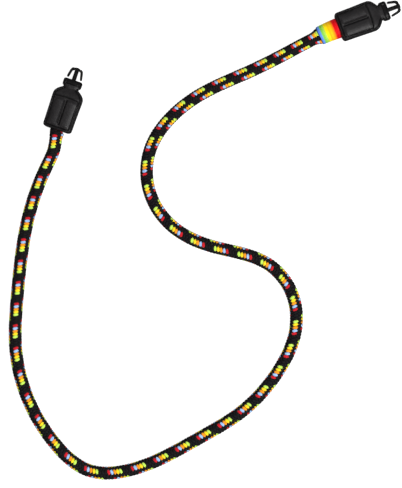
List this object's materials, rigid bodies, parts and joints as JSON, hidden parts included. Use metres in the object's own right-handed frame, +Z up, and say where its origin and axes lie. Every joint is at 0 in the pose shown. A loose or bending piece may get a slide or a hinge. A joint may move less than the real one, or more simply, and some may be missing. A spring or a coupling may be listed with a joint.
{
  "type": "elastic cord tether",
  "caption": "Elastic braided cord tether with a moulded snap-in plug on each end and a striped ribbon band at one of them; it bends along its whole length.",
  "frame": {"origin": "middle of the footprint, on the table", "axes": "+Z up from the table the tether lies on; +Y the long way of its footprint, towards the plug with the ribbon band; +X to the right seen from above"},
  "size_m": [0.1892, 0.2313, 0.011],
  "materials": {
    "braided_sheath": "two-over-two braid, black with a rainbow of coloured strands, satin yarn",
    "rubber_core": "plain latex",
    "plug_shell": "satin black moulded nylon with a fine mould texture",
    "snap_tip": "smooth black acetal",
    "ferrule": "plated and crimped",
    "ribbon_band": "woven ribbon with red, orange, yellow, green and blue stripes",
    "sleeve": "soft black vinyl"
  },
  "bodies": {
    "link_04": {"cord_sheath_04": "braided_sheath", "cord_core_04": "rubber_core"},
    "plug_a": {"a_front_shell": "plug_shell", "a_back_shell": "plug_shell", "a_snap_insert": "snap_tip", "a_crimp_ferrule": "ferrule", "cord_sheath_00": "braided_sheath", "cord_core_00": "rubber_core"},
    "link_01": {"cord_sheath_01": "braided_sheath", "cord_core_01": "rubber_core"},
    "link_02": {"cord_sheath_02": "braided_sheath", "cord_core_02": "rubber_core"},
    "link_03": {"cord_sheath_03": "braided_sheath", "cord_core_03": "rubber_core"},
    "link_05": {"cord_sheath_05": "braided_sheath", "cord_core_05": "rubber_core"},
    "link_06": {"cord_sheath_06": "braided_sheath", "cord_core_06": "rubber_core"},
    "link_07": {"cord_sheath_07": "braided_sheath", "cord_core_07": "rubber_core"},
    "link_08": {"cord_sheath_08": "braided_sheath", "cord_core_08": "rubber_core"},
    "link_09": {"cord_sheath_09": "braided_sheath", "cord_core_09": "rubber_core"},
    "link_10": {"cord_sheath_10": "braided_sheath", "cord_core_10": "rubber_core"},
    "link_11": {"cord_sheath_11": "braided_sheath", "cord_core_11": "rubber_core"},
    "plug_b": {"b_front_shell": "plug_shell", "b_back_shell": "plug_shell", "b_snap_insert": "snap_tip", "b_crimp_ferrule": "ferrule", "cord_sheath_12": "braided_sheath", "cord_core_12": "rubber_core", "end_sleeve": "sleeve", "rainbow_band": "ribbon_band"},
    "a_barb_left_arm": {"a_barb_left": "snap_tip"},
    "a_barb_right_arm": {"a_barb_right": "snap_tip"},
    "b_barb_left_arm": {"b_barb_left": "snap_tip"},
    "b_barb_right_arm": {"b_barb_right": "snap_tip"}
  },
  "joints": [
    {"name": "bend_05_sway", "type": "hinge", "parent": "link_04", "child": "link_05", "pos_m": [-0.03112, -0.10972, 0.003], "axis": [0, 0, 1], "range_deg": [-45, 10]},
    {"name": "bend_06_lift", "type": "hinge", "parent": "link_05", "child": "link_06", "pos_m": [0.00947, -0.08877, 0.003], "axis": [0.525, -0.8511, 0], "range_deg": [0, 45]},
    {"name": "bend_07_sway", "type": "hinge", "parent": "link_06", "child": "link_07", "pos_m": [0.04, -0.05553, 0.003], "axis": [0, 0, -1], "range_deg": [-35, 45]},
    {"name": "bend_08_lift", "type": "hinge", "parent": "link_07", "child": "link_08", "pos_m": [0.03351, -0.0137, 0.003], "axis": [0.6437, 0.7653, 0], "range_deg": [0, 45]},
    {"name": "bend_09_sway", "type": "hinge", "parent": "link_08", "child": "link_09", "pos_m": [-0.00905, 0.00212, 0.003], "axis": [0, 0, 1], "range_deg": [-45, 45]},
    {"name": "bend_10_lift", "type": "hinge", "parent": "link_09", "child": "link_10", "pos_m": [-0.02741, 0.04058, 0.003], "axis": [0.9764, -0.2161, 0], "range_deg": [0, 45]},
    {"name": "bend_11_sway", "type": "hinge", "parent": "link_10", "child": "link_11", "pos_m": [0.00267, 0.07317, 0.003], "axis": [0, 0, -1], "range_deg": [-45, 45]},
    {"name": "bend_12_lift", "type": "hinge", "parent": "link_11", "child": "plug_b", "pos_m": [0.04392, 0.09291, 0.00362], "axis": [0.4699, -0.8827, 0], "range_deg": [0, 45]},
    {"name": "bend_04_lift", "type": "hinge", "parent": "link_04", "child": "link_03", "pos_m": [-0.07195, -0.0992, 0.003], "axis": [0.7675, 0.6411, 0], "range_deg": [0, 45]},
    {"name": "bend_03_sway", "type": "hinge", "parent": "link_03", "child": "link_02", "pos_m": [-0.09089, -0.05817, 0.003], "axis": [0, 0, 1], "range_deg": [-15, 45]},
    {"name": "bend_02_lift", "type": "hinge", "parent": "link_02", "child": "link_01", "pos_m": [-0.08944, -0.01256, 0.003], "axis": [0.9936, -0.1131, 0], "range_deg": [0, 45]},
    {"name": "bend_01_sway", "type": "hinge", "parent": "link_01", "child": "plug_a", "pos_m": [-0.07849, 0.03166, 0.00362], "axis": [0, 0, -1], "range_deg": [-45, 35]},
    {"name": "a_barb_left_flex", "type": "hinge", "parent": "plug_a", "child": "a_barb_left_arm", "pos_m": [-0.06415, 0.08264, 0.00545], "axis": [0, 0, 1], "range_deg": [0, 16], "stiffness_Nm_per_rad": 0.02},
    {"name": "a_barb_right_flex", "type": "hinge", "parent": "plug_a", "child": "a_barb_right_arm", "pos_m": [-0.05962, 0.08108, 0.00545], "axis": [0, 0, -1], "range_deg": [0, 16], "stiffness_Nm_per_rad": 0.02},
    {"name": "b_barb_left_flex", "type": "hinge", "parent": "plug_b", "child": "b_barb_left_arm", "pos_m": [0.09211, 0.11522, 0.00545], "axis": [0, 0, 1], "range_deg": [0, 16], "stiffness_Nm_per_rad": 0.02},
    {"name": "b_barb_right_flex", "type": "hinge", "parent": "plug_b", "child": "b_barb_right_arm", "pos_m": [0.09375, 0.11071, 0.00545], "axis": [0, 0, -1], "range_deg": [0, 16], "stiffness_Nm_per_rad": 0.02}
  ]
}
